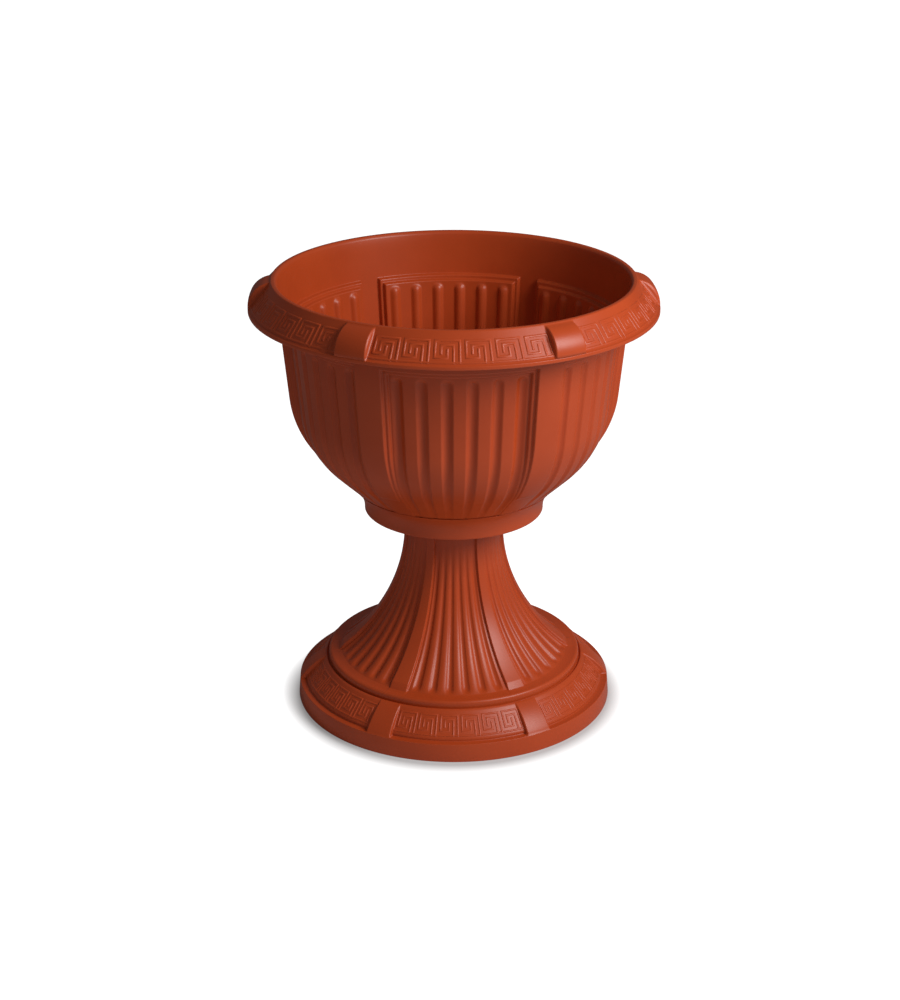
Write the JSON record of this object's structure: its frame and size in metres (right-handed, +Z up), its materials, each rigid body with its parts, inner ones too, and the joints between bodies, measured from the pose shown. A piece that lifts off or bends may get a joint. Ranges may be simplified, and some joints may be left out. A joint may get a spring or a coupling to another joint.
{
  "type": "urn vase",
  "caption": "Footed urn vase in moulded terracotta-coloured plastic: fluted bowl with a key-pattern rim, clamped on a hollow flared pedestal, with drain plugs in the bowl floor.",
  "frame": {"origin": "middle of the ground plane under the pedestal", "axes": "+Z up along the urn's axis; a pilaster is on +X and a panel faces -Y, the front of the picture"},
  "size_m": [0.4, 0.4, 0.445],
  "materials": {
    "terracotta_plastic": "satin moulded",
    "black_plastic": "moulded",
    "seal_rubber": "matte",
    "plug_plastic": "moulded"
  },
  "bodies": {
    "pedestal": {"pedestal": "terracotta_plastic"},
    "bowl": {"bowl": "terracotta_plastic", "clamp_bolt": "black_plastic", "seal_washer": "seal_rubber"},
    "washer": {"thrust_washer": "black_plastic"},
    "nut": {"wing_nut": "black_plastic"},
    "plug_1": {"drain_plug_1": "plug_plastic"},
    "plug_2": {"drain_plug_2": "plug_plastic"},
    "plug_3": {"drain_plug_3": "plug_plastic"}
  },
  "joints": [
    {"name": "bowl_lift", "type": "slide", "parent": "pedestal", "child": "bowl", "axis": [0, 0, 1], "range_m": [0, 0.06]},
    {"name": "nut_travel", "type": "slide", "parent": "pedestal", "child": "washer", "axis": [0, 0, -1], "range_m": [0, 0.018]},
    {"name": "nut_turn", "type": "hinge", "parent": "washer", "child": "nut", "pos_m": [0, 0, 0.2165], "axis": [0, 0, -1], "range_deg": [0, 2160]},
    {"name": "drain_plug_1_pull", "type": "slide", "parent": "bowl", "child": "plug_1", "axis": [0, 0, 1], "range_m": [0, 0.03]},
    {"name": "drain_plug_2_pull", "type": "slide", "parent": "bowl", "child": "plug_2", "axis": [0, 0, 1], "range_m": [0, 0.03]},
    {"name": "drain_plug_3_pull", "type": "slide", "parent": "bowl", "child": "plug_3", "axis": [0, 0, 1], "range_m": [0, 0.03]}
  ],
  "couplings": [
    {"joint": "nut_travel", "follows": "nut_turn", "m_per_rad": 0.00047746}
  ]
}
